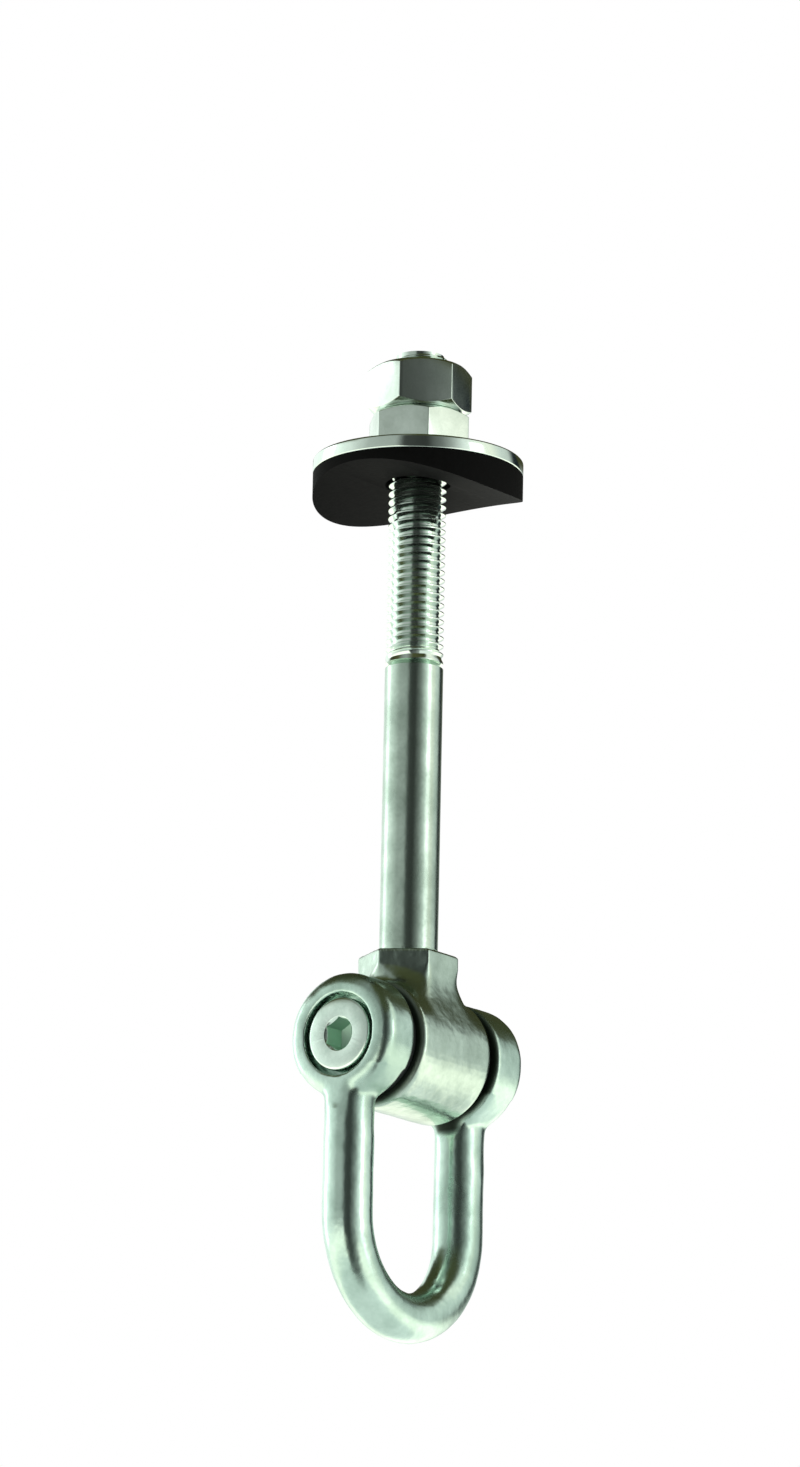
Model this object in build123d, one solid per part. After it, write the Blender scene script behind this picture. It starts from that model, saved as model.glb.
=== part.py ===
"""Through-bolt swing hanger for a round pole: a forged eye bolt, its clamp stack and a D-shackle.

The origin is on the stud's axis, in the plane of the neck's seat face, where the pole rests.
+Z runs up the stud, and X runs along the shackle pin, with the pin's head on the -X side.
"""
import os
from math import asin, cos, radians, sin, sqrt, tan

from build123d import *

# The pole that the hanger clamps, lying along X.
POLE_DIAMETER = 100.0

# Stud, with an M12 x 1.75 thread on its upper part.
STUD_DIAMETER = 12.0
THREAD_LENGTH = 66.0
STUD_ABOVE_NUTS = 2.5
STUD_TIP_CHAMFER = 1.1

# Hexagonal neck and the barrel below it.
NECK_ACROSS_FLATS = 18.0
NECK_CHAMFER = 0.5
PIN_DROP = 20.2
BARREL_DIAMETER = 26.4
BARREL_EDGE_RADIUS = 1.4
FLARE_START = 4.0
FLARE_FOOT_DIAMETER = 22.8
NECK_INTO_FLARE = 0.2
FLARE_EMBED = 0.3

# Shackle pin, an M10 x 1.5 screw with a low round head and a hexagon socket.
PIN_DIAMETER = 10.0
PIN_END_INSET = 0.6
PIN_END_CHAMFER = 1.0
HEAD_DIAMETER = 15.0
HEAD_HEIGHT = 5.0
HEAD_INSET = 0.3
HEAD_CHAMFER = 0.6
SOCKET_ACROSS_FLATS = 6.0
SOCKET_DEPTH = 5.2

# Flanged plain bushes, pressed into the barrel from both ends.
BUSH_WALL = 2.2
BUSH_FLANGE_DIAMETER = 22.4
BUSH_FLANGE_THICKNESS = 2.0
BUSH_EDGE_CHAMFER = 0.4
GREASE_GAP = 1.2

# Shackle, forged from round bar.
BAR_DIAMETER = 10.4
LEG_SPACING = 38.0
BOW_DROP = 35.4
EAR_DIAMETER = 25.8
EAR_THICKNESS = 9.4
HEAD_EAR_EDGE_RADIUS = 3.0
THREAD_EAR_EDGE_RADIUS = 1.8
EAR_INNER_EDGE_RADIUS = 1.0
LEG_FLUSH_OUTSIDE = 15.0
LEG_FLUSH_INSIDE = 14.1

# Clamp stack on top of the pole.
WASHER_DIAMETER = 43.6
WASHER_THICKNESS = 3.0
WASHER_EDGE_CHAMFER = 0.35
PAD_CREST_THICKNESS = 1.8
PAD_EDGE_RADIUS = 0.4
NUT_ACROSS_FLATS = 19.0
NUT_HEIGHT = 10.0
NUT_FACE_DIAMETER = 17.6
NUT_CHAMFER_ANGLE = 30.0
NUT_MOUTH_DEPTH = 0.5
LOWER_NUT_TURN = -13.7
UPPER_NUT_TURN = 13.5

# Fits and gaps between pieces.
THREAD_UNDERSIZE = 0.1
THREAD_CLEARANCE = 0.05
WASHER_CLEARANCE = 0.75
RUNNING_CLEARANCE = 0.05
PRESS_GAP = 0.01
EAR_HOLE_CLEARANCE = 0.15
EAR_SIDE_PLAY = 0.4
HEAD_SIDE_GAP = 0.9
STACK_GAP = 0.05

# Sizes and places that follow from those above.
THREAD_DIAMETER = STUD_DIAMETER - THREAD_UNDERSIZE
PIN_THREAD_DIAMETER = PIN_DIAMETER - THREAD_UNDERSIZE
WASHER_BORE = STUD_DIAMETER + 2 * WASHER_CLEARANCE
COUNTERBORE_DIAMETER = HEAD_DIAMETER + 2 * HEAD_SIDE_GAP
BARREL_LENGTH = LEG_SPACING - EAR_THICKNESS - 2 * (BUSH_FLANGE_THICKNESS + EAR_SIDE_PLAY)
PAD_TOP = POLE_DIAMETER + PAD_CREST_THICKNESS
WASHER_TOP = PAD_TOP + WASHER_THICKNESS
LOWER_NUT_BASE = WASHER_TOP + STACK_GAP
UPPER_NUT_BASE = LOWER_NUT_BASE + NUT_HEIGHT + STACK_GAP
STUD_TOP = UPPER_NUT_BASE + NUT_HEIGHT + STUD_ABOVE_NUTS
LEG_X = LEG_SPACING / 2
EAR_OUTER_X = LEG_X + EAR_THICKNESS / 2
EAR_INNER_X = LEG_X - EAR_THICKNESS / 2
BARREL_END_X = BARREL_LENGTH / 2
BUSH_OUTER_RADIUS = PIN_DIAMETER / 2 + RUNNING_CLEARANCE + BUSH_WALL
HEAD_FACE_X = -EAR_OUTER_X + HEAD_INSET
HEAD_SEAT_X = HEAD_FACE_X + HEAD_HEIGHT
PIN_END_X = EAR_OUTER_X - PIN_END_INSET


def rod(radius, x_start, x_end, z=-PIN_DROP):
    """A round rod along X between two places, on the pin's axis."""
    length = x_end - x_start
    turned = Rotation(0, 90, 0) * Cylinder(radius, length)
    return Pos((x_start + x_end) / 2, 0, z) * turned


def post(radius, z_start, z_end):
    """A round post on the stud's axis between two heights."""
    return Pos(0, 0, (z_start + z_end) / 2) * Cylinder(radius, z_end - z_start)


def hexagon(across_flats, height):
    """A hexagonal prism standing on its origin, with two corners on the X axis."""
    corner_radius = across_flats / 2 / cos(radians(30))
    return extrude(RegularPolygon(corner_radius, 6), height)


def circles_at(part, axis, place):
    """The circular edges of a part that lie in one plane across an axis."""
    edges = part.edges().filter_by(GeomType.CIRCLE)
    return edges.filter_by_position(axis, place - 0.01, place + 0.01)


def over_barrel(part):
    """What of a part stands over the barrel's straight length, between its rounded ends."""
    slab = Box(BARREL_LENGTH - 2 * BARREL_EDGE_RADIUS, BARREL_DIAMETER - 1, 2 * BARREL_DIAMETER)
    return part & Pos(0, 0, -PIN_DROP) * slab


def neck_flare():
    """The round root of the neck: a hollow arc that starts upright and meets the barrel's side smoothly."""
    neck_radius = NECK_ACROSS_FLATS / 2 - NECK_INTO_FLARE
    foot_radius = FLARE_FOOT_DIAMETER / 2
    top = -FLARE_START
    foot = sqrt((BARREL_DIAMETER / 2) ** 2 - foot_radius**2) - PIN_DROP + FLARE_EMBED
    reach = foot_radius - neck_radius
    drop = top - foot
    arc_radius = (drop**2 + reach**2) / (2 * reach)
    half_turn = asin(drop / arc_radius) / 2
    middle = (neck_radius + arc_radius * (1 - cos(half_turn)), top - arc_radius * sin(half_turn))
    with BuildPart() as flare:
        with BuildSketch(Plane.XZ):
            with BuildLine():
                Line((0, -PIN_DROP), (0, top))
                Line((0, top), (neck_radius, top))
                ThreePointArc((neck_radius, top), middle, (foot_radius, foot))
                Line((foot_radius, foot), (foot_radius, -PIN_DROP))
                Line((foot_radius, -PIN_DROP), (0, -PIN_DROP))
            make_face()
        revolve(axis=Axis.Z)
    return over_barrel(flare.part)


def neck():
    """The hexagonal neck, which narrows to the barrel's straight length below the barrel's crown."""
    crown = BARREL_DIAMETER / 2 - PIN_DROP
    upper = Pos(0, 0, crown) * hexagon(NECK_ACROSS_FLATS, -crown)
    upper = chamfer(upper.faces().sort_by(Axis.Z)[-1].edges(), NECK_CHAMFER)
    root = Pos(0, 0, -PIN_DROP) * hexagon(NECK_ACROSS_FLATS, BARREL_DIAMETER / 2)
    return upper + over_barrel(root)


def eye_bolt():
    """The forging: stud, hexagonal neck and barrel in one piece, bored for the two bushes."""
    barrel = rod(BARREL_DIAMETER / 2, -BARREL_END_X, BARREL_END_X)
    barrel = fillet(barrel.edges().filter_by(GeomType.CIRCLE), BARREL_EDGE_RADIUS)
    thread_start = STUD_TOP - THREAD_LENGTH
    shank = post(STUD_DIAMETER / 2, -NECK_ACROSS_FLATS / 4, thread_start)
    thread = post(THREAD_DIAMETER / 2, thread_start, STUD_TOP)
    thread = chamfer(circles_at(thread, Axis.Z, STUD_TOP), STUD_TIP_CHAMFER)
    body = barrel + neck() + neck_flare() + shank + thread
    bore = rod(BUSH_OUTER_RADIUS + PRESS_GAP, -BARREL_LENGTH, BARREL_LENGTH)
    return body - bore


def bush(side):
    """One flanged bush: its sleeve is in the barrel, its flange outside the barrel's end."""
    inner_end = GREASE_GAP / 2
    flange_face = BARREL_END_X + PRESS_GAP
    outer_end = flange_face + BUSH_FLANGE_THICKNESS
    sleeve = rod(BUSH_OUTER_RADIUS, inner_end, outer_end)
    flange = rod(BUSH_FLANGE_DIAMETER / 2, flange_face, outer_end)
    flange = chamfer(circles_at(flange, Axis.X, outer_end), BUSH_EDGE_CHAMFER)
    bore = rod(PIN_DIAMETER / 2 + RUNNING_CLEARANCE, -1, outer_end + 1)
    piece = sleeve + flange - bore
    return piece if side > 0 else piece.mirror(Plane.YZ)


def bent_bar():
    """The round bar of the shackle: two legs and the bow between them."""
    bow_z = -PIN_DROP - BOW_DROP
    with BuildPart() as bar:
        with BuildLine():
            Line((-LEG_X, 0, -PIN_DROP), (-LEG_X, 0, bow_z))
            ThreePointArc((-LEG_X, 0, bow_z), (0, 0, bow_z - LEG_X), (LEG_X, 0, bow_z))
            Line((LEG_X, 0, bow_z), (LEG_X, 0, -PIN_DROP))
        with BuildSketch(Plane((-LEG_X, 0, -PIN_DROP), z_dir=(0, 0, -1))):
            Circle(BAR_DIAMETER / 2)
        sweep()
    return bar.part


def beside_pin(x_start, x_end, reach_down):
    """A block round the pin's axis, from one place along it to another."""
    height = EAR_DIAMETER + reach_down
    middle_z = (EAR_DIAMETER - reach_down) / 2 - PIN_DROP
    return Pos((x_start + x_end) / 2, 0, middle_z) * Box(x_end - x_start, EAR_DIAMETER, height)


def ear(side):
    """A thick round ear, rounded more on its outer edge, and most beside the pin's head."""
    outer_radius = HEAD_EAR_EDGE_RADIUS if side < 0 else THREAD_EAR_EDGE_RADIUS
    disc = rod(EAR_DIAMETER / 2, *sorted((side * EAR_INNER_X, side * EAR_OUTER_X)))
    disc = fillet(circles_at(disc, Axis.X, side * EAR_OUTER_X), outer_radius)
    return fillet(circles_at(disc, Axis.X, side * EAR_INNER_X), EAR_INNER_EDGE_RADIUS)


def shackle():
    """The D-shackle: a bent bar with a thick round ear on the end of each leg."""
    body = bent_bar()
    body -= beside_pin(-EAR_INNER_X, EAR_INNER_X, LEG_FLUSH_INSIDE)
    for side in (-1, 1):
        near, far = sorted((side * EAR_OUTER_X, side * (EAR_OUTER_X + BAR_DIAMETER)))
        body -= beside_pin(near, far, LEG_FLUSH_OUTSIDE)
        body += ear(side)
    body -= rod(PIN_DIAMETER / 2 + EAR_HOLE_CLEARANCE, -EAR_OUTER_X - 1, 0)
    body -= rod(PIN_THREAD_DIAMETER / 2 + THREAD_CLEARANCE, 0, EAR_OUTER_X + 1)
    body -= rod(COUNTERBORE_DIAMETER / 2, -EAR_OUTER_X - 1, HEAD_SEAT_X)
    return body


def shackle_pin():
    """The pin: a low socket head in the near ear, a plain shank and a thread in the far ear."""
    head = rod(HEAD_DIAMETER / 2, HEAD_FACE_X, HEAD_SEAT_X - STACK_GAP)
    head = chamfer(circles_at(head, Axis.X, HEAD_FACE_X), HEAD_CHAMFER)
    thread_start = EAR_INNER_X - STACK_GAP
    shank = rod(PIN_DIAMETER / 2, HEAD_FACE_X + HEAD_CHAMFER, thread_start)
    thread = rod(PIN_THREAD_DIAMETER / 2, thread_start, PIN_END_X)
    thread = chamfer(circles_at(thread, Axis.X, PIN_END_X), PIN_END_CHAMFER)
    socket = Pos(HEAD_FACE_X, 0, -PIN_DROP) * Rotation(0, 90, 0) * hexagon(SOCKET_ACROSS_FLATS, SOCKET_DEPTH)
    return head + shank + thread - socket


def saddle_pad():
    """The round pad under the washer, hollowed below to sit on the pole."""
    radius = WASHER_DIAMETER / 2
    skirt = POLE_DIAMETER / 2 * (1 - cos(asin(WASHER_DIAMETER / POLE_DIAMETER)))
    disc = post(radius, POLE_DIAMETER - skirt, PAD_TOP - PRESS_GAP)
    disc = fillet(circles_at(disc, Axis.Z, PAD_TOP - PRESS_GAP), PAD_EDGE_RADIUS)
    pole = rod(POLE_DIAMETER / 2, -POLE_DIAMETER, POLE_DIAMETER, z=POLE_DIAMETER / 2)
    bore = post(WASHER_BORE / 2, 0, STUD_TOP)
    return disc - pole - bore


def large_washer():
    """The wide flat washer on the pad."""
    disc = post(WASHER_DIAMETER / 2, PAD_TOP, WASHER_TOP)
    disc = chamfer(disc.edges().filter_by(GeomType.CIRCLE), WASHER_EDGE_CHAMFER)
    return disc - post(WASHER_BORE / 2, 0, STUD_TOP)


def nut(base, turn):
    """A hexagon nut with both faces turned down to a circle and both ends of its bore opened."""
    corner_radius = NUT_ACROSS_FLATS / sqrt(3)
    drop = (corner_radius - NUT_FACE_DIAMETER / 2) * tan(radians(NUT_CHAMFER_ANGLE))
    with BuildPart() as turned:
        with BuildSketch(Plane.XZ):
            with BuildLine():
                Polyline(
                    (0, 0),
                    (NUT_FACE_DIAMETER / 2, 0),
                    (corner_radius, drop),
                    (corner_radius, NUT_HEIGHT - drop),
                    (NUT_FACE_DIAMETER / 2, NUT_HEIGHT),
                    (0, NUT_HEIGHT),
                    close=True,
                )
            make_face()
        revolve(axis=Axis.Z)
    bore_radius = THREAD_DIAMETER / 2 + THREAD_CLEARANCE
    mouth = bore_radius + NUT_MOUTH_DEPTH
    blank = hexagon(NUT_ACROSS_FLATS, NUT_HEIGHT) & turned.part
    blank -= Pos(0, 0, NUT_HEIGHT / 2) * Cylinder(bore_radius, NUT_HEIGHT + 2)
    lower_mouth = Pos(0, 0, NUT_MOUTH_DEPTH / 2) * Cone(mouth, bore_radius, NUT_MOUTH_DEPTH)
    upper_z = NUT_HEIGHT - NUT_MOUTH_DEPTH / 2
    upper_mouth = Pos(0, 0, upper_z) * Cone(bore_radius, mouth, NUT_MOUTH_DEPTH)
    return Pos(0, 0, base) * Rotation(0, 0, turn) * (blank - lower_mouth - upper_mouth)


def main():
    parts = {
        "eye_bolt": eye_bolt(),
        "left_bush": bush(-1),
        "right_bush": bush(1),
        "shackle": shackle(),
        "shackle_pin": shackle_pin(),
        "saddle_pad": saddle_pad(),
        "large_washer": large_washer(),
        "lower_nut": nut(LOWER_NUT_BASE, LOWER_NUT_TURN),
        "upper_nut": nut(UPPER_NUT_BASE, UPPER_NUT_TURN),
    }
    os.makedirs("parts", exist_ok=True)
    for name, shape in parts.items():
        export_step(shape, f"parts/{name}.step")


main()
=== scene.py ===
from math import atan2, cos, degrees, hypot, pi, radians, sin, sqrt, tan

import bpy
from mathutils import Matrix, Vector


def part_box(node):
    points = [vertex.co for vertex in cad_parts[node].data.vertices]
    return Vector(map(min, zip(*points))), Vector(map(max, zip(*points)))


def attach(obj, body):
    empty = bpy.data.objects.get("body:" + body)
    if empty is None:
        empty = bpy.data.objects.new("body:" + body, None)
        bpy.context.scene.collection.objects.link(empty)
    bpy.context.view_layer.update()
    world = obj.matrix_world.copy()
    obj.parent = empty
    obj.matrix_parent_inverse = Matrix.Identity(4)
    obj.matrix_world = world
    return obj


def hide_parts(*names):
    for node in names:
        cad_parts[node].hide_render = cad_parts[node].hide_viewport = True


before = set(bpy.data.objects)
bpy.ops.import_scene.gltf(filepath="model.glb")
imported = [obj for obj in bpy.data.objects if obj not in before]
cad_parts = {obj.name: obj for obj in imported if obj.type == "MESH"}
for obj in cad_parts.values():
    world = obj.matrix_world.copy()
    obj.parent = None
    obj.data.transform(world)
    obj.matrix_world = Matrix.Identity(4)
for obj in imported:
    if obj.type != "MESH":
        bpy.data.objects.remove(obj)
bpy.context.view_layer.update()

MM = 0.001
# How near a cut a point may lie and still count as on it. The tool's own value is far too coarse here.
CUT_THRESHOLD = 0.0005 * MM

# Places read from the frame, in metres.
STUD_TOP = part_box("eye_bolt")[1].z
PIN_LOW, PIN_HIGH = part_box("shackle_pin")
SHACKLE_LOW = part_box("shackle")[0]
WASHER_LOW, WASHER_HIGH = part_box("large_washer")
PAD_LOW, PAD_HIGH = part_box("saddle_pad")
PIN_Z = (PIN_LOW.z + PIN_HIGH.z) / 2

# Sizes that the boxes don't give.
STUD_RADIUS = 6.0 * MM
THREAD_RADIUS = 5.95 * MM
THREAD_ROOT = 4.95 * MM
THREAD_PITCH = 1.75 * MM
THREAD_START = STUD_TOP - 66.0 * MM
TIP_CHAMFER = 1.1 * MM
NUT_ACROSS_FLATS = 19.0 * MM
NUT_FACE_RADIUS = 8.8 * MM
NUT_BORE = 6.0 * MM
NUT_MOUTH = 0.5 * MM
HEAD_HEIGHT = 4.95 * MM
PIN_RADIUS = 5.0 * MM
PIN_THREAD_RADIUS = 4.95 * MM
PIN_THREAD_ROOT = 4.1 * MM
PIN_THREAD_PITCH = 1.5 * MM
PIN_THREAD_START = 14.3 * MM
SOCKET_FLATS = 6.0 * MM
SOCKET_DEPTH = 5.2 * MM
WASHER_BORE = 6.75 * MM
POLE_RADIUS = 50.0 * MM
BARREL_RADIUS = 13.2 * MM
NECK_ACROSS_FLATS = 18.0 * MM
ROOT_HALF_LENGTH = 10.2 * MM
COUNTERBORE_RADIUS = 8.4 * MM
BUSH_BORE = 5.05 * MM
BUSH_SLEEVE = 7.25 * MM

# The steps that fill the corner between neck and barrel: how far out from the neck's flats and how
# far up from the barrel each one reaches, in millimetres.
ROOT_STEPS = [(0.3, 3.0), (0.8, 2.1), (1.4, 1.3), (2.0, 0.7), (2.6, 0.3)]

# The forgings' mesh size, and how often each blended root is smoothed.
EYE_VOXEL = 0.27 * MM
SHACKLE_VOXEL = 0.34 * MM
NECK_ROOT_PASSES = 170
LEG_ROOT_PASSES = 80

# Hammer marks on the forgings, as (name, size, depth).
BARREL_MARKS = [("barrel_lumps", 5 * MM, 0.12 * MM), ("barrel_dents", 1.6 * MM, 0.05 * MM)]
SHACKLE_MARKS = [("shackle_lumps", 6 * MM, 0.14 * MM), ("shackle_dents", 1.8 * MM, 0.05 * MM)]


# The surround, as (heading in degrees, brightness, tint) all round at eye level and above it,
# and as (sine of the height, brightness, tint) below.
MINT = (0.93, 1.0, 0.95)
CREAM = (1.0, 1.0, 0.88)
OLIVE = (0.95, 1.0, 0.42)
NAVY = (0.55, 0.8, 1.0)
SIDE_CARDS = [
    (-180, 0.47, MINT), (-169, 0.42, MINT), (-160, 0.06, MINT), (-134, 0.04, MINT), (-127, 0.13, MINT),
    (-118, 0.20, MINT), (-106, 0.45, MINT), (-92, 0.95, MINT), (-58, 1.1, CREAM), (-44, 0.85, MINT),
    (-28, 0.7, MINT),
    (-17, 0.03, NAVY), (-1, 0.015, NAVY), (12, 0.5, MINT), (46, 1.1, MINT), (116, 1.25, MINT),
    (142, 0.8, MINT), (160, 0.5, MINT), (180, 0.47, MINT),
]
TOP_CARDS = [
    (-180, 0.32, MINT), (-152, 0.08, OLIVE), (-90, 0.06, OLIVE), (110, 0.05, OLIVE), (138, 0.1, OLIVE),
    (162, 0.3, MINT), (180, 0.35, MINT),
]
FLOOR_CARDS = [
    (-1.0, 0.85, MINT), (-0.8, 0.9, MINT), (-0.62, 1.0, MINT), (-0.48, 1.55, CREAM), (-0.28, 1.55, CREAM),
    (0.0, 0.9, MINT),
]
# How much further down the dark front card and the dark top card reach, all round.
FRONT_CARD_DROP = [(-180, 0.0), (-166, 0.0), (-156, 0.68), (-118, 0.68), (-100, 0.0)]
TOP_CARD_DROP = [
    (-180, 0.22), (-96, 0.20), (-78, 0.0), (-46, 0.0), (-32, 0.19), (-24, 0.19), (0, 0.54), (42, 0.56),
    (54, 0.24), (100, 0.34), (140, 0.34), (160, 0.22), (180, 0.22),
]


# ---------------------------------------------------------------- modelling by hand

def deselect_all():
    if bpy.context.object and bpy.context.object.mode != "OBJECT":
        bpy.ops.object.mode_set(mode="OBJECT")
    bpy.ops.object.select_all(action="DESELECT")


def activate(obj):
    deselect_all()
    obj.select_set(True)
    bpy.context.view_layer.objects.active = obj


def turned(name, outline, axis, centre, steps=128):
    """A turned piece: an outline of (radius, place along the axis) points spun once round the axis."""
    deselect_all()
    bpy.ops.mesh.primitive_plane_add(size=MM)
    obj = bpy.context.object
    obj.name = name
    along = Vector(axis)
    outward = Vector((0, 1, 0))
    points = [Vector(centre) + outward * radius + along * place for radius, place in outline]
    bpy.ops.object.mode_set(mode="EDIT")
    bpy.ops.mesh.select_all(action="SELECT")
    bpy.ops.mesh.merge(type="CENTER")
    bpy.ops.transform.translate(value=points[0])
    for before, after in zip(points, points[1:]):
        bpy.ops.mesh.extrude_region_move(TRANSFORM_OT_translate={"value": after - before})
    bpy.ops.mesh.select_all(action="SELECT")
    bpy.ops.mesh.spin(steps=steps, angle=2 * pi, center=centre, axis=axis)
    bpy.ops.mesh.select_all(action="SELECT")
    bpy.ops.mesh.remove_doubles(threshold=0.002 * MM)
    bpy.ops.mesh.normals_make_consistent(inside=False)
    bpy.ops.object.mode_set(mode="OBJECT")
    return obj


def closed(outline):
    """An outline that ends where it starts."""
    return list(outline) + [outline[0]]


def apply_modifier(obj, kind, **settings):
    activate(obj)
    bpy.ops.object.modifier_add(type=kind)
    modifier = obj.modifiers[-1]
    for setting, value in settings.items():
        setattr(modifier, setting, value)
    bpy.ops.object.modifier_apply(modifier=modifier.name)


def cut(obj, tool, operation="DIFFERENCE"):
    """Cuts or trims a piece with a tool piece, which is then removed."""
    apply_modifier(obj, "BOOLEAN", object=tool, operation=operation, solver="EXACT")
    bpy.data.objects.remove(tool)


def soften(obj, width, segments=2, angle=30):
    """Rounds a piece's sharp edges."""
    apply_modifier(
        obj, "BEVEL", width=width, segments=segments, limit_method="ANGLE",
        angle_limit=radians(angle), harden_normals=False,
    )


def shade(obj, angle=35):
    activate(obj)
    bpy.ops.object.shade_smooth_by_angle(angle=radians(angle))


def settle(obj):
    """Puts the object at the origin with its place in its mesh."""
    activate(obj)
    bpy.ops.object.transform_apply(location=True, rotation=True, scale=True)


def hexagon_bar(name, across_flats, low, high, turn=0.0):
    """A hexagonal bar on the stud's axis. With no turn, two of its corners are on the X axis."""
    deselect_all()
    bpy.ops.mesh.primitive_cylinder_add(
        vertices=6, radius=across_flats / sqrt(3), depth=high - low,
        location=(0, 0, (low + high) / 2), rotation=(0, 0, turn + radians(30)),
    )
    obj = bpy.context.object
    obj.name = name
    settle(obj)
    return obj


def screw_thread(name, crest, root, pitch, low, high):
    """A rod on the Z axis with a helical thread, cut square at both heights."""
    flat = pitch / 8
    flank = (pitch - 3 * flat) / 2
    turns = int((high - low) / pitch) + 4
    start = low - 2 * pitch
    deselect_all()
    bpy.ops.mesh.primitive_plane_add(size=MM)
    obj = bpy.context.object
    obj.name = name
    points = [
        Vector((0, root, start)),
        Vector((0, root, start + 2 * flat)),
        Vector((0, crest, start + 2 * flat + flank)),
        Vector((0, crest, start + 3 * flat + flank)),
        Vector((0, root, start + pitch)),
    ]
    bpy.ops.object.mode_set(mode="EDIT")
    bpy.ops.mesh.select_all(action="SELECT")
    bpy.ops.mesh.merge(type="CENTER")
    bpy.ops.transform.translate(value=points[0])
    for before, after in zip(points, points[1:]):
        bpy.ops.mesh.extrude_region_move(TRANSFORM_OT_translate={"value": after - before})
    bpy.ops.object.mode_set(mode="OBJECT")
    apply_modifier(
        obj, "SCREW", axis="Z", angle=2 * pi, screw_offset=pitch, iterations=turns,
        steps=64, render_steps=64, use_smooth_shade=False,
    )
    activate(obj)
    bpy.ops.object.mode_set(mode="EDIT")
    bpy.ops.mesh.select_all(action="SELECT")
    bpy.ops.mesh.remove_doubles(threshold=0.005 * MM)
    for height, side in ((low, -1), (high, 1)):
        bpy.ops.mesh.select_all(action="SELECT")
        bpy.ops.mesh.bisect(
            plane_co=(0, 0, height), plane_no=(0, 0, side), use_fill=True, clear_outer=True,
            threshold=CUT_THRESHOLD,
        )
    bpy.ops.mesh.select_all(action="SELECT")
    bpy.ops.mesh.normals_make_consistent(inside=False)
    bpy.ops.object.mode_set(mode="OBJECT")
    return obj


def limit_radius(obj, largest):
    """Brings each point of a piece on the Z axis in to the radius allowed at its height."""
    for vertex in obj.data.vertices:
        radius = hypot(vertex.co.x, vertex.co.y)
        allowed = largest(vertex.co.z)
        if radius > allowed:
            vertex.co.x *= allowed / radius
            vertex.co.y *= allowed / radius


def raise_radius(obj, smallest):
    """Brings each outer point of a piece on the Z axis out to the radius wanted at its height."""
    for vertex in obj.data.vertices:
        radius = hypot(vertex.co.x, vertex.co.y)
        wanted = smallest(vertex.co.z)
        if 0.5 * THREAD_ROOT < radius < wanted:
            vertex.co.x *= wanted / radius
            vertex.co.y *= wanted / radius


def copy_of_node(name, node):
    """A copy of a CAD node with its loose triangles merged."""
    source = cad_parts[node]
    obj = source.copy()
    obj.data = source.data.copy()
    bpy.context.scene.collection.objects.link(obj)
    obj.parent = None
    for key in list(obj.keys()):
        del obj[key]
    obj.name = name
    obj.data.materials.clear()
    activate(obj)
    bpy.ops.object.mode_set(mode="EDIT")
    bpy.ops.mesh.select_all(action="SELECT")
    bpy.ops.mesh.remove_doubles(threshold=0.001 * MM)
    bpy.ops.object.mode_set(mode="OBJECT")
    return obj


def keep_below(obj, height):
    """Cuts a piece off at a height and closes it."""
    activate(obj)
    bpy.ops.object.mode_set(mode="EDIT")
    bpy.ops.mesh.select_all(action="SELECT")
    bpy.ops.mesh.bisect(
        plane_co=(0, 0, height), plane_no=(0, 0, 1), use_fill=True, clear_outer=True,
        threshold=CUT_THRESHOLD,
    )
    bpy.ops.object.mode_set(mode="OBJECT")


def flat_turn(node):
    """How far a hexagonal CAD node is turned, from the direction of its largest side face."""
    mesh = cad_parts[node].data
    sides = {}
    for face in mesh.polygons:
        if abs(face.normal.z) < 0.01:
            angle = round(degrees(atan2(face.normal.y, face.normal.x)) % 60, 1)
            sides[angle] = sides.get(angle, 0) + face.area
    return radians(max(sides, key=sides.get) - 30)


def finish_piece(obj, body, material, nodes=()):
    settle(obj)
    obj.data.materials.clear()
    obj.data.materials.append(material)
    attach(obj, body)
    if nodes:
        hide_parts(*nodes)
    return obj


# ---------------------------------------------------------------- materials

def new_group(name, inputs, outputs):
    group = bpy.data.node_groups.new(name, "ShaderNodeTree")
    for label, kind, value in inputs:
        socket = group.interface.new_socket(label, in_out="INPUT", socket_type=kind)
        if value is not None:
            socket.default_value = value
    for label, kind in outputs:
        group.interface.new_socket(label, in_out="OUTPUT", socket_type=kind)
    return group


def add_node(tree, kind, **settings):
    node = tree.nodes.new(kind)
    for setting, value in settings.items():
        setattr(node, setting, value)
    return node


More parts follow.
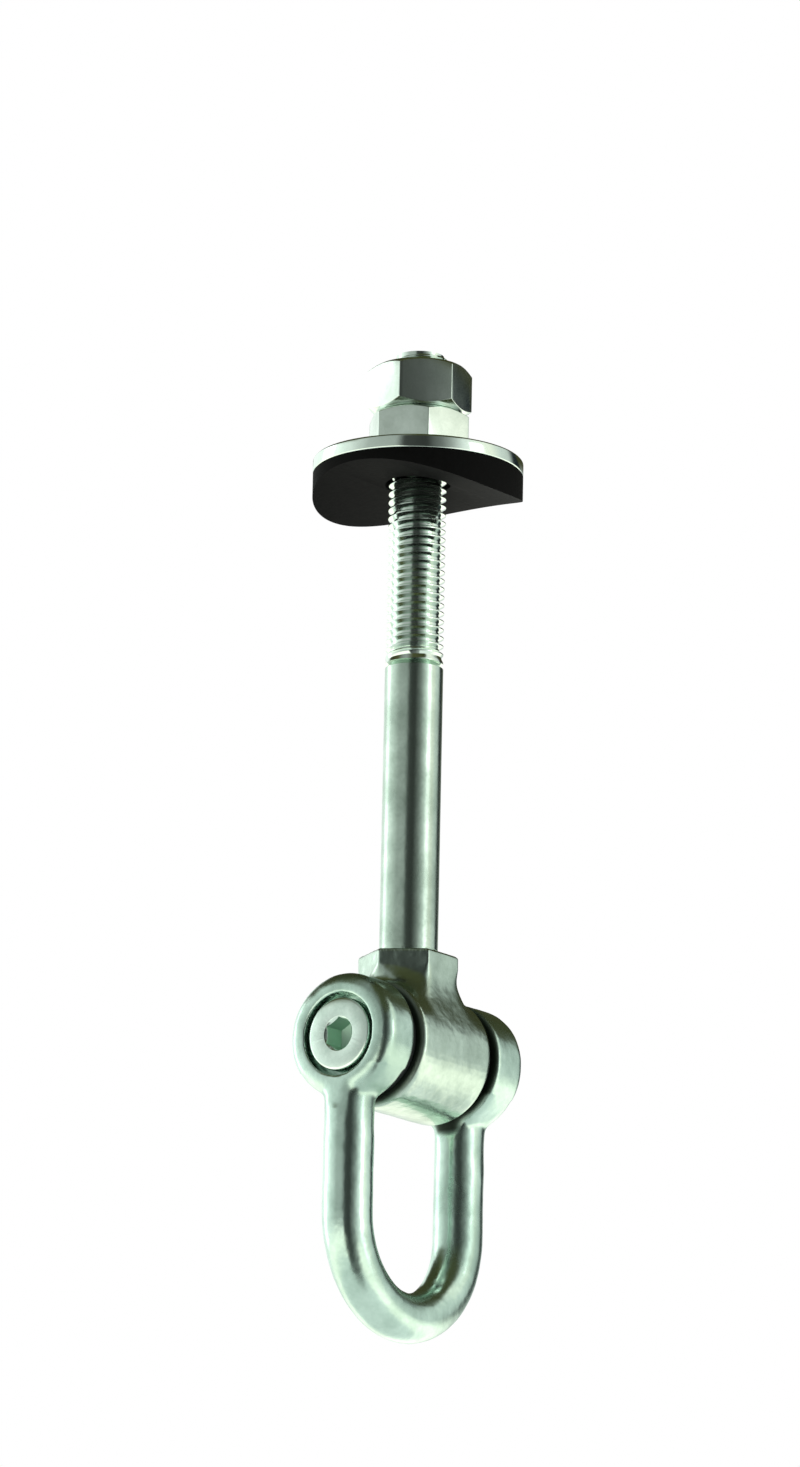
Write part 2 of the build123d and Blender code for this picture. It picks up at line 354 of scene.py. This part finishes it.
def zinc_skin_group():
    """The look of a zinc surface: cloudy patches, fine speckle, and small dents and grain in height."""
    group = new_group(
        "zinc_skin",
        [
            ("Cloud Scale", "NodeSocketFloat", 90.0),
            ("Grain Scale", "NodeSocketFloat", 1400.0),
            ("Dent Scale", "NodeSocketFloat", 260.0),
            ("Dent Height", "NodeSocketFloat", 0.5),
            ("Dark", "NodeSocketColor", (0.4, 0.4, 0.4, 1)),
            ("Light", "NodeSocketColor", (0.8, 0.8, 0.8, 1)),
            ("Rough Low", "NodeSocketFloat", 0.25),
            ("Rough High", "NodeSocketFloat", 0.45),
        ],
        [
            ("Color", "NodeSocketColor"),
            ("Roughness", "NodeSocketFloat"),
            ("Height", "NodeSocketFloat"),
        ],
    )
    inside = add_node(group, "NodeGroupInput")
    out = add_node(group, "NodeGroupOutput")
    place = add_node(group, "ShaderNodeTexCoord")
    link = group.links.new

    cloud = add_node(group, "ShaderNodeTexNoise")
    cloud.inputs["Detail"].default_value = 5
    cloud.inputs["Roughness"].default_value = 0.62
    link(place.outputs["Object"], cloud.inputs["Vector"])
    link(inside.outputs["Cloud Scale"], cloud.inputs["Scale"])
    cloud_range = add_node(group, "ShaderNodeMapRange")
    cloud_range.inputs["From Min"].default_value = 0.36
    cloud_range.inputs["From Max"].default_value = 0.64
    link(cloud.outputs["Fac"], cloud_range.inputs["Value"])

    grain = add_node(group, "ShaderNodeTexNoise")
    grain.inputs["Detail"].default_value = 3
    link(place.outputs["Object"], grain.inputs["Vector"])
    link(inside.outputs["Grain Scale"], grain.inputs["Scale"])

    patches = add_node(group, "ShaderNodeMath", operation="MULTIPLY_ADD")
    patches.inputs[1].default_value = 0.24
    link(grain.outputs["Fac"], patches.inputs[0])
    share = add_node(group, "ShaderNodeMath", operation="MULTIPLY")
    share.inputs[1].default_value = 0.82
    link(cloud_range.outputs["Result"], share.inputs[0])
    link(share.outputs["Value"], patches.inputs[2])

    tint = add_node(group, "ShaderNodeMix", data_type="RGBA")
    link(patches.outputs["Value"], tint.inputs["Factor"])
    link(inside.outputs["Dark"], tint.inputs["A"])
    link(inside.outputs["Light"], tint.inputs["B"])
    link(tint.outputs["Result"], out.inputs["Color"])

    rough = add_node(group, "ShaderNodeMapRange")
    link(patches.outputs["Value"], rough.inputs["Value"])
    link(inside.outputs["Rough High"], rough.inputs["To Min"])
    link(inside.outputs["Rough Low"], rough.inputs["To Max"])
    link(rough.outputs["Result"], out.inputs["Roughness"])

    dents = add_node(group, "ShaderNodeTexNoise")
    dents.inputs["Detail"].default_value = 4
    dents.inputs["Roughness"].default_value = 0.5
    link(place.outputs["Object"], dents.inputs["Vector"])
    link(inside.outputs["Dent Scale"], dents.inputs["Scale"])
    deep = add_node(group, "ShaderNodeMath", operation="MULTIPLY")
    link(dents.outputs["Fac"], deep.inputs[0])
    link(inside.outputs["Dent Height"], deep.inputs[1])
    fine = add_node(group, "ShaderNodeMath", operation="MULTIPLY_ADD")
    fine.inputs[1].default_value = 0.12
    link(grain.outputs["Fac"], fine.inputs[0])
    link(deep.outputs["Value"], fine.inputs[2])
    link(fine.outputs["Value"], out.inputs["Height"])
    return group


def metal(name, skin, scales, colours, rough, bump):
    """A zinc-coated steel: the shared skin with this finish's own scales, colours and roughness."""
    material = bpy.data.materials.new(name)
    material.use_nodes = True
    tree = material.node_tree
    shader = tree.nodes["Principled BSDF"]
    shader.inputs["Metallic"].default_value = 1.0
    node = add_node(tree, "ShaderNodeGroup")
    node.node_tree = skin
    node.inputs["Cloud Scale"].default_value = scales[0]
    node.inputs["Grain Scale"].default_value = scales[1]
    node.inputs["Dent Scale"].default_value = scales[2]
    node.inputs["Dark"].default_value = (*colours[0], 1)
    node.inputs["Light"].default_value = (*colours[1], 1)
    node.inputs["Rough Low"].default_value = rough[0]
    node.inputs["Rough High"].default_value = rough[1]
    tree.links.new(node.outputs["Color"], shader.inputs["Base Color"])
    tree.links.new(node.outputs["Roughness"], shader.inputs["Roughness"])
    relief = add_node(tree, "ShaderNodeBump")
    relief.inputs["Strength"].default_value = bump[0]
    relief.inputs["Distance"].default_value = bump[1]
    tree.links.new(node.outputs["Height"], relief.inputs["Height"])
    tree.links.new(relief.outputs["Normal"], shader.inputs["Normal"])
    return material


def mixed_in(tree, shader, input_name, mask, value):
    """Mixes a value or colour over what feeds a shader's input, by a mask."""
    before = shader.inputs[input_name].links[0].from_socket
    is_colour = not isinstance(value, float)
    mix = add_node(tree, "ShaderNodeMix", data_type="RGBA" if is_colour else "FLOAT")
    a, b = [socket for socket in mix.inputs if socket.enabled and socket.name in ("A", "B")]
    b.default_value = (*value, 1) if is_colour else value
    result = [socket for socket in mix.outputs if socket.enabled][0]
    tree.links.new(mask, [socket for socket in mix.inputs if socket.enabled and socket.name == "Factor"][0])
    tree.links.new(before, a)
    tree.links.new(result, shader.inputs[input_name])


def band_mask_group(name):
    """A mask from a place: how far along X it is from the middle, and how far it is from the pin's axis."""
    group = new_group(
        name,
        [
            ("X Start", "NodeSocketFloat", 0.0), ("X End", "NodeSocketFloat", 0.0),
            ("Radius Start", "NodeSocketFloat", 0.0), ("Radius End", "NodeSocketFloat", 0.0),
        ],
        [("Mask", "NodeSocketFloat")],
    )
    inside = add_node(group, "NodeGroupInput")
    out = add_node(group, "NodeGroupOutput")
    place = add_node(group, "ShaderNodeTexCoord")
    split = add_node(group, "ShaderNodeSeparateXYZ")
    link = group.links.new
    link(place.outputs["Object"], split.inputs["Vector"])
    sideways = add_node(group, "ShaderNodeMath", operation="ABSOLUTE")
    link(split.outputs["X"], sideways.inputs[0])
    x_share = add_node(group, "ShaderNodeMapRange", interpolation_type="SMOOTHSTEP")
    link(sideways.outputs["Value"], x_share.inputs["Value"])
    link(inside.outputs["X Start"], x_share.inputs["From Min"])
    link(inside.outputs["X End"], x_share.inputs["From Max"])
    height = add_node(group, "ShaderNodeMath", operation="SUBTRACT")
    height.inputs[1].default_value = PIN_Z
    link(split.outputs["Z"], height.inputs[0])
    across = add_node(group, "ShaderNodeCombineXYZ")
    link(split.outputs["Y"], across.inputs["X"])
    link(height.outputs["Value"], across.inputs["Y"])
    radius = add_node(group, "ShaderNodeVectorMath", operation="LENGTH")
    link(across.outputs["Vector"], radius.inputs[0])
    radius_share = add_node(group, "ShaderNodeMapRange", interpolation_type="SMOOTHSTEP")
    link(radius.outputs["Value"], radius_share.inputs["Value"])
    link(inside.outputs["Radius Start"], radius_share.inputs["From Min"])
    link(inside.outputs["Radius End"], radius_share.inputs["From Max"])
    both = add_node(group, "ShaderNodeMath", operation="MULTIPLY")
    link(x_share.outputs["Result"], both.inputs[0])
    link(radius_share.outputs["Result"], both.inputs[1])
    link(both.outputs["Value"], out.inputs["Mask"])
    return group


def masked(material, group, x_band, radius_band, colour, rough):
    """Darkens a material with painted shade, or gives it another colour, where the band mask is full."""
    tree = material.node_tree
    shader = tree.nodes["Principled BSDF"]
    node = add_node(tree, "ShaderNodeGroup")
    node.node_tree = group
    node.inputs["X Start"].default_value, node.inputs["X End"].default_value = x_band
    node.inputs["Radius Start"].default_value, node.inputs["Radius End"].default_value = radius_band
    mixed_in(tree, shader, "Base Color", node.outputs["Mask"], colour)
    mixed_in(tree, shader, "Roughness", node.outputs["Mask"], rough)
    return material


def dark_polymer(name, colours, rough, grain_scale, bump):
    """Black rubber or dark plastic with a fine grain."""
    material = bpy.data.materials.new(name)
    material.use_nodes = True
    tree = material.node_tree
    shader = tree.nodes["Principled BSDF"]
    place = add_node(tree, "ShaderNodeTexCoord")
    grain = add_node(tree, "ShaderNodeTexNoise")
    grain.inputs["Scale"].default_value = grain_scale
    grain.inputs["Detail"].default_value = 4
    tree.links.new(place.outputs["Object"], grain.inputs["Vector"])
    tint = add_node(tree, "ShaderNodeMix", data_type="RGBA")
    tint.inputs["A"].default_value = (*colours[0], 1)
    tint.inputs["B"].default_value = (*colours[1], 1)
    tree.links.new(grain.outputs["Fac"], tint.inputs["Factor"])
    tree.links.new(tint.outputs["Result"], shader.inputs["Base Color"])
    gloss = add_node(tree, "ShaderNodeMapRange")
    gloss.inputs["To Min"].default_value = rough[0]
    gloss.inputs["To Max"].default_value = rough[1]
    tree.links.new(grain.outputs["Fac"], gloss.inputs["Value"])
    tree.links.new(gloss.outputs["Result"], shader.inputs["Roughness"])
    relief = add_node(tree, "ShaderNodeBump")
    relief.inputs["Strength"].default_value = bump
    relief.inputs["Distance"].default_value = 0.1 * MM
    tree.links.new(grain.outputs["Fac"], relief.inputs["Height"])
    tree.links.new(relief.outputs["Normal"], shader.inputs["Normal"])
    return material


# ---------------------------------------------------------------- pieces

def blend_where(obj, name, chosen, iterations):
    """Smooths only the part of a piece that is chosen, fading out at its border."""
    group = obj.vertex_groups.new(name=name)
    for vertex in obj.data.vertices:
        weight = chosen(vertex.co)
        if weight > 0:
            group.add([vertex.index], min(weight, 1), "REPLACE")
    apply_modifier(obj, "SMOOTH", factor=0.5, iterations=iterations, vertex_group=name)
    obj.vertex_groups.clear()


def hammer(obj, name, size, depth):
    """Gives a forged surface its uneven hollows, all of them inward."""
    lumps = bpy.data.textures.new(name, "CLOUDS")
    lumps.noise_scale = size
    lumps.noise_depth = 1
    apply_modifier(obj, "DISPLACE", texture=lumps, texture_coords="LOCAL", strength=depth, mid_level=1.0)


def root_collar(reach, rise):
    """One step of the metal that fills the corner between neck and barrel, before it is blended."""
    collar = hexagon_bar("root_collar", NECK_ACROSS_FLATS + 2 * reach, PIN_Z + 2 * MM, 0)
    deselect_all()
    bpy.ops.mesh.primitive_cylinder_add(
        vertices=256, radius=BARREL_RADIUS + rise, depth=2 * ROOT_HALF_LENGTH,
        location=(0, 0, PIN_Z), rotation=(0, pi / 2, 0),
    )
    cut(collar, bpy.context.object, "INTERSECT")
    return collar


def neck_root(co):
    """How much of a point belongs to the blended corner between neck and barrel."""
    down = -co.z / MM
    if co.z < PIN_Z + 3 * MM:
        return 0
    return min((down - 3.2) * 0.35, (ROOT_HALF_LENGTH - abs(co.x)) / MM + 0.6, (co.z - PIN_Z) / MM - 3)


def eye_forging(material):
    """Neck and barrel: the forged shape with its edges and roots blended."""
    obj = copy_of_node("eye_forging", "eye_bolt")
    keep_below(obj, 3 * MM)
    for reach, rise in ROOT_STEPS:
        cut(obj, root_collar(reach * MM, rise * MM), "UNION")
    apply_modifier(obj, "REMESH", mode="VOXEL", voxel_size=EYE_VOXEL)
    apply_modifier(obj, "SMOOTH", factor=0.5, iterations=4)
    blend_where(obj, "neck_root", neck_root, NECK_ROOT_PASSES)
    for name, size, depth in BARREL_MARKS:
        hammer(obj, name, size, depth)
    shade(obj, 60)
    return finish_piece(obj, "bolt", material, ["eye_bolt"])


def stud_shank(material):
    """The plain part of the stud between the neck and the thread."""
    outline = closed([
        (0, 1 * MM),
        (STUD_RADIUS, 1 * MM),
        (STUD_RADIUS, THREAD_START - 1.0 * MM),
        (THREAD_ROOT, THREAD_START + 0.2 * MM),
        (0, THREAD_START + 0.2 * MM),
    ])
    obj = turned("stud_shank", outline, (0, 0, 1), (0, 0, 0))
    shade(obj)
    return finish_piece(obj, "bolt", material)


def stud_thread(material):
    """The rolled thread, running out at its foot and chamfered at the stud's tip."""
    obj = screw_thread("stud_thread", THREAD_RADIUS, THREAD_ROOT, THREAD_PITCH, THREAD_START, STUD_TOP)
    limit_radius(obj, lambda z: THREAD_RADIUS - TIP_CHAMFER + min(STUD_TOP - z, TIP_CHAMFER))
    run_out = 2 * THREAD_PITCH
    depth = THREAD_RADIUS - THREAD_ROOT
    raise_radius(obj, lambda z: THREAD_RADIUS - depth * min((z - THREAD_START) / run_out, 1))
    shade(obj, 28)
    return finish_piece(obj, "bolt", material)


def nut(name, node, body, material):
    """A hexagon nut with both faces turned down, its bore opened at both ends and its edges broken."""
    low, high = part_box(node)
    turn = flat_turn(node)
    corner = NUT_ACROSS_FLATS / sqrt(3)
    wide = corner * 1.05
    wide_drop = (wide - NUT_FACE_RADIUS) * tan(radians(30))
    outline = closed([
        (NUT_BORE + NUT_MOUTH, low.z),
        (NUT_FACE_RADIUS, low.z),
        (wide, low.z + wide_drop),
        (wide, high.z - wide_drop),
        (NUT_FACE_RADIUS, high.z),
        (NUT_BORE + NUT_MOUTH, high.z),
        (NUT_BORE, high.z - NUT_MOUTH),
        (NUT_BORE, low.z + NUT_MOUTH),
    ])
    obj = turned(name, outline, (0, 0, 1), (0, 0, 0))
    bar = hexagon_bar("hexagon_stock", NUT_ACROSS_FLATS, low.z - MM, high.z + MM, turn)
    cut(obj, bar, "INTERSECT")
    soften(obj, 0.22 * MM, 3, 20)
    shade(obj, 30)
    return finish_piece(obj, body, material, [node])


def washer(material):
    edge = 0.35 * MM
    radius = WASHER_HIGH.x
    outline = closed([
        (WASHER_BORE + edge, WASHER_LOW.z),
        (radius - edge, WASHER_LOW.z),
        (radius, WASHER_LOW.z + edge),
        (radius, WASHER_HIGH.z - edge),
        (radius - edge, WASHER_HIGH.z),
        (WASHER_BORE + edge, WASHER_HIGH.z),
        (WASHER_BORE, WASHER_HIGH.z - edge),
        (WASHER_BORE, WASHER_LOW.z + edge),
    ])
    obj = turned("wide_washer", outline, (0, 0, 1), (0, 0, 0), 192)
    soften(obj, 0.12 * MM, 2, 20)
    shade(obj, 40)
    return finish_piece(obj, "clamp", material, ["large_washer"])


def saddle_pad(material):
    """The rubber pad, hollowed to the pole, with a rounded rim."""
    radius = PAD_HIGH.x
    outline = closed([
        (WASHER_BORE, PAD_LOW.z),
        (radius, PAD_LOW.z),
        (radius, PAD_HIGH.z),
        (WASHER_BORE, PAD_HIGH.z),
    ])
    obj = turned("rubber_saddle", outline, (0, 0, 1), (0, 0, 0), 160)
    deselect_all()
    bpy.ops.mesh.primitive_cylinder_add(
        vertices=720, radius=POLE_RADIUS, depth=4 * radius,
        location=(0, 0, POLE_RADIUS), rotation=(0, pi / 2, 0),
    )
    cut(obj, bpy.context.object)
    soften(obj, 0.4 * MM, 3, 40)
    shade(obj, 40)
    return finish_piece(obj, "clamp", material, ["saddle_pad"])


def bush(name, node, material):
    """A flanged bush: the flange's outer edge is rounded, its sleeve runs into the barrel."""
    low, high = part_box(node)
    side = 1 if low.x > 0 else -1
    inner, outer = (low.x, high.x) if side > 0 else (high.x, low.x)
    flange = 2.0 * MM * side
    outline = closed([
        (BUSH_BORE, inner),
        (BUSH_SLEEVE, inner),
        (BUSH_SLEEVE, outer - flange),
        (high.y, outer - flange),
        (high.y, outer),
        (BUSH_BORE, outer),
    ])
    obj = turned(name, outline, (1, 0, 0), (0, 0, PIN_Z))
    soften(obj, 0.3 * MM, 3, 40)
    shade(obj, 40)
    return finish_piece(obj, "bolt", material, [node])


def leg_root(co):
    """How much of a point belongs to the place where a leg runs into its ear."""
    from_pin = hypot(co.y, co.z - PIN_Z) / MM
    below = (PIN_Z - co.z) / MM
    if below < 7 or abs(co.x) < 13 * MM:
        return 0
    return min((from_pin - 9.6) * 0.5, (21 - from_pin) * 0.4)


def shackle_forging(material):
    """Bow, legs and ears: the forged shape with the legs blended into the ears."""
    obj = copy_of_node("shackle_forging", "shackle")
    apply_modifier(obj, "REMESH", mode="VOXEL", voxel_size=SHACKLE_VOXEL)
    apply_modifier(obj, "SMOOTH", factor=0.5, iterations=5)
    blend_where(obj, "leg_roots", leg_root, LEG_ROOT_PASSES)
    for name, size, depth in SHACKLE_MARKS:
        hammer(obj, name, size, depth)
    seat = PIN_LOW.x + HEAD_HEIGHT + 0.1 * MM
    mouth = 0.35 * MM
    machined = COUNTERBORE_RADIUS + 0.12 * MM
    outline = closed([
        (0, SHACKLE_LOW.x - MM),
        (machined + mouth + MM, SHACKLE_LOW.x - MM),
        (machined, SHACKLE_LOW.x + mouth),
        (machined, seat),
        (0, seat),
    ])
    cut(obj, turned("counterbore_tool", outline, (1, 0, 0), (0, 0, PIN_Z), 192))
    shade(obj, 50)
    return finish_piece(obj, "shackle", material, ["shackle"])


def pin_body(material):
    """The pin's head and plain shank, with a hexagon socket in the head."""
    head = PIN_HIGH.y
    edge = 0.6 * MM
    face = PIN_LOW.x
    outline = [
        (0, face),
        (head - edge, face),
        (head - 0.25 * edge, face + 0.3 * edge),
        (head, face + edge),
        (head, face + HEAD_HEIGHT),
        (PIN_RADIUS, face + HEAD_HEIGHT),
        (PIN_RADIUS, PIN_THREAD_START - 0.8 * MM),
        (PIN_THREAD_ROOT, PIN_THREAD_START + 0.2 * MM),
        (0, PIN_THREAD_START + 0.2 * MM),
    ]
    obj = turned("pin_body", closed(outline), (1, 0, 0), (0, 0, PIN_Z))
    socket = hexagon_bar("socket_tool", SOCKET_FLATS, -SOCKET_DEPTH, 2 * MM)
    activate(socket)
    socket.rotation_euler = (0, -pi / 2, 0)
    socket.location = (face, 0, PIN_Z)
    settle(socket)
    cut(obj, socket)
    lead = turned(
        "socket_lead",
        closed([(0, -1 * MM), (4.55 * MM, -1 * MM), (3.0 * MM, 0.55 * MM), (0, 0.55 * MM)]),
        (1, 0, 0), (face, 0, PIN_Z), 96,
    )
    cut(obj, lead)
    soften(obj, 0.12 * MM, 2, 28)
    shade(obj, 32)
    return finish_piece(obj, "pin", material, ["shackle_pin"])


def pin_thread(material):
    """The thread on the pin's far end, chamfered at the tip."""
    length = PIN_HIGH.x - PIN_THREAD_START
    obj = screw_thread("pin_thread", PIN_THREAD_RADIUS, PIN_THREAD_ROOT, PIN_THREAD_PITCH, 0, length)
    limit_radius(obj, lambda z: PIN_THREAD_RADIUS - MM + min(length - z, MM))
    activate(obj)
    obj.rotation_euler = (0, pi / 2, 0)
    obj.location = (PIN_THREAD_START, 0, PIN_Z)
    settle(obj)
    shade(obj, 28)
    return finish_piece(obj, "pin", material)


# ---------------------------------------------------------------- studio

def colour_ramp(tree, stops):
    """A ramp node from (place, colour) stops, with the places from 0 to 1."""
    node = add_node(tree, "ShaderNodeValToRGB")
    elements = node.color_ramp.elements
    while len(elements) < len(stops):
        elements.new(0.5)
    for element, (place, colour) in zip(elements, stops):
        element.position = place
        element.color = (*colour, 1)
    return node


def studio_world():
    """The surround: plain white when looked at, with soft cards of light and dark where metal mirrors it."""
    world = bpy.data.worlds.new("studio_surround")
    bpy.context.scene.world = world
    world.use_nodes = True
    tree = world.node_tree
    tree.nodes.clear()
    link = tree.links.new
    out = add_node(tree, "ShaderNodeOutputWorld")
    place = add_node(tree, "ShaderNodeTexCoord")
    split = add_node(tree, "ShaderNodeSeparateXYZ")
    link(place.outputs["Generated"], split.inputs["Vector"])
    heading = add_node(tree, "ShaderNodeMath", operation="ARCTAN2")
    link(split.outputs["Y"], heading.inputs[0])
    link(split.outputs["X"], heading.inputs[1])
    turn = add_node(tree, "ShaderNodeMapRange")
    turn.inputs["From Min"].default_value = -pi
    turn.inputs["From Max"].default_value = pi
    link(heading.outputs["Value"], turn.inputs["Value"])

    around = colour_ramp(tree, [
        ((angle + 180) / 360, tuple(value * share for share in tint)) for angle, value, tint in SIDE_CARDS
    ])
    link(turn.outputs["Result"], around.inputs["Fac"])
    above = colour_ramp(tree, [
        ((angle + 180) / 360, tuple(value * share for share in tint)) for angle, value, tint in TOP_CARDS
    ])
    link(turn.outputs["Result"], above.inputs["Fac"])
    depth = add_node(tree, "ShaderNodeMapRange")
    depth.inputs["From Min"].default_value = -1
    depth.inputs["From Max"].default_value = 0
    link(split.outputs["Z"], depth.inputs["Value"])
    below = colour_ramp(tree, [
        (height + 1, tuple(value * share for share in tint)) for height, value, tint in FLOOR_CARDS
    ])
    link(depth.outputs["Result"], below.inputs["Fac"])

    shares = []
    for drops, start, end in ((FRONT_CARD_DROP, 0.05, -0.25), (TOP_CARD_DROP, 0.70, 0.84)):
        drop = colour_ramp(tree, [((angle + 180) / 360, (value,) * 3) for angle, value in drops])
        link(turn.outputs["Result"], drop.inputs["Fac"])
        raised = add_node(tree, "ShaderNodeMath", operation="ADD")
        link(split.outputs["Z"], raised.inputs[0])
        link(drop.outputs["Color"], raised.inputs[1])
        share = add_node(tree, "ShaderNodeMapRange", interpolation_type="SMOOTHSTEP")
        share.inputs["From Min"].default_value = start
        share.inputs["From Max"].default_value = end
        link(raised.outputs["Value"], share.inputs["Value"])
        shares.append(share)
    low_share, high_share = shares
    with_low = add_node(tree, "ShaderNodeMix", data_type="RGBA")
    link(low_share.outputs["Result"], with_low.inputs["Factor"])
    link(around.outputs["Color"], with_low.inputs["A"])
    link(below.outputs["Color"], with_low.inputs["B"])
    with_high = add_node(tree, "ShaderNodeMix", data_type="RGBA")
    link(high_share.outputs["Result"], with_high.inputs["Factor"])
    link(with_low.outputs["Result"], with_high.inputs["A"])
    link(above.outputs["Color"], with_high.inputs["B"])

    mirrored = add_node(tree, "ShaderNodeBackground")
    link(with_high.outputs["Result"], mirrored.inputs["Color"])
    seen = add_node(tree, "ShaderNodeBackground")
    seen.inputs["Color"].default_value = (1, 1, 1, 1)
    eye = add_node(tree, "ShaderNodeLightPath")
    mix = add_node(tree, "ShaderNodeMixShader")
    link(eye.outputs["Is Camera Ray"], mix.inputs["Fac"])
    link(mirrored.outputs["Background"], mix.inputs[1])
    link(seen.outputs["Background"], mix.inputs[2])
    link(mix.outputs["Shader"], out.inputs["Surface"])


def area_light(name, heading, rise, distance, size, power):
    """A soft light at a heading and height round the object, aimed at the shackle's head."""
    a, e = radians(heading), radians(rise)
    aim = Vector((0, 0, PIN_Z))
    towards = Vector((cos(a) * cos(e), sin(a) * cos(e), sin(e)))
    data = bpy.data.lights.new(name, "AREA")
    data.shape = "RECTANGLE"
    data.size, data.size_y = size
    data.energy = power
    light = bpy.data.objects.new(name, data)
    bpy.context.scene.collection.objects.link(light)
    light.location = aim + towards * distance
    light.rotation_mode = "QUATERNION"
    light.rotation_quaternion = towards.to_track_quat("Z", "Y")
    return light


def floor():
    deselect_all()
    bpy.ops.mesh.primitive_plane_add(size=30, location=(0, 0, -2.6))
    obj = bpy.context.object
    obj.name = "studio_floor"
    material = bpy.data.materials.new("pale_floor")
    material.use_nodes = True
    shader = material.node_tree.nodes["Principled BSDF"]
    shader.inputs["Base Color"].default_value = (0.82, 0.82, 0.8, 1)
    shader.inputs["Emission Color"].default_value = (1, 1, 0.98, 1)
    shader.inputs["Emission Strength"].default_value = 0.62
    shader.inputs["Roughness"].default_value = 0.9
    obj.data.materials.append(material)
    obj.visible_glossy = False


def camera():
    """The camera looks up at the hanger from below, from the pin head's side."""
    heading, rise, roll = radians(36.29), radians(13.84), radians(-1.18)
    distance = 1.6327
    ahead = Vector((cos(heading) * cos(rise), sin(heading) * cos(rise), sin(rise)))
    right = Vector((sin(heading), -cos(heading), 0))
    down = ahead.cross(right)
    tilted_right = cos(roll) * right + sin(roll) * down
    tilted_down = cos(roll) * down - sin(roll) * right
    aim = -0.0017 * tilted_right - 0.0455 * tilted_down
    data = bpy.data.cameras.new("camera")
    data.sensor_width = 36
    data.lens = 196.3
    data.clip_start, data.clip_end = 0.05, 50
    obj = bpy.data.objects.new("camera", data)
    bpy.context.scene.collection.objects.link(obj)
    columns = (tilted_right, -tilted_down, -ahead)
    turn = Matrix(columns).transposed()
    obj.matrix_world = Matrix.Translation(aim - ahead * distance) @ turn.to_4x4()
    bpy.context.scene.camera = obj


camera()
studio_world()
floor()
area_light("left_softbox", 100, 10, 1.4, (0.5, 1.0), 1.6)
area_light("right_softbox", -78, 8, 1.4, (0.4, 0.9), 1.2)

skin = zinc_skin_group()
forged = metal(
    "galvanised_forging", skin, (85, 1300, 240),
    ((0.38, 0.48, 0.41), (0.64, 0.77, 0.68)), (0.17, 0.29), (0.4, 0.25 * MM),
)
shackle_zinc = metal(
    "galvanised_shackle", skin, (70, 1100, 260),
    ((0.41, 0.56, 0.48), (0.68, 0.86, 0.77)), (0.18, 0.31), (0.4, 0.25 * MM),
)
band_mask = band_mask_group("band_mask")
# Painted shade: the barrel's ends are darkened for the shade in the gap between barrel and ears.
masked(forged, band_mask, (10.9 * MM, 12.0 * MM), (0.5 * MM, 1.0 * MM), (0.06, 0.08, 0.06), 0.6)
# Painted shade: the shackle is darkened round the pin inside its ears, for the shade in the gap by the
# barrel.
masked(shackle_zinc, band_mask, (15.2 * MM, 14.4 * MM), (15.0 * MM, 13.2 * MM), (0.06, 0.08, 0.06), 0.6)
plated = metal(
    "bright_zinc_plating", skin, (130, 2400, 500),
    ((0.68, 0.78, 0.71), (0.80, 0.90, 0.83)), (0.09, 0.16), (0.12, 0.08 * MM),
)
nut_zinc = metal(
    "zinc_plated_nut", skin, (140, 1800, 420),
    ((0.60, 0.69, 0.62), (0.80, 0.90, 0.83)), (0.17, 0.25), (0.15, 0.1 * MM),
)
pin_zinc = metal(
    "zinc_plated_pin", skin, (150, 2000, 420),
    ((0.60, 0.74, 0.66), (0.80, 0.93, 0.85)), (0.16, 0.26), (0.2, 0.1 * MM),
)
socket_depths = (-PIN_LOW.x - 0.3 * MM, -PIN_LOW.x - 0.8 * MM)
masked(pin_zinc, band_mask, socket_depths, (3.7 * MM, 3.4 * MM), (0.62, 0.82, 0.70), 0.5)
# The pad is black rubber; its colour and sheen are turned down further as painted shade, for the shade it
# lies in under the washer.
rubber = dark_polymer("black_rubber_painted_shade", ((0.002, 0.002, 0.002), (0.006, 0.006, 0.006)), (0.7, 0.85), 900, 0.5)
rubber.node_tree.nodes["Principled BSDF"].inputs["Specular IOR Level"].default_value = 0.07
plastic = dark_polymer("bush_plastic", ((0.004, 0.006, 0.006), (0.012, 0.016, 0.016)), (0.35, 0.5), 700, 0.3)

eye_forging(forged)
stud_shank(forged)
stud_thread(plated)
bush("near_bush", "left_bush", plastic)
bush("far_bush", "right_bush", plastic)
shackle_forging(shackle_zinc)
pin_body(pin_zinc)
pin_thread(plated)
saddle_pad(rubber)
washer(plated)
nut("clamp_nut", "lower_nut", "lower_nut", nut_zinc)
nut("lock_nut", "upper_nut", "upper_nut", nut_zinc)

bpy.context.scene.view_settings.view_transform = "Standard"
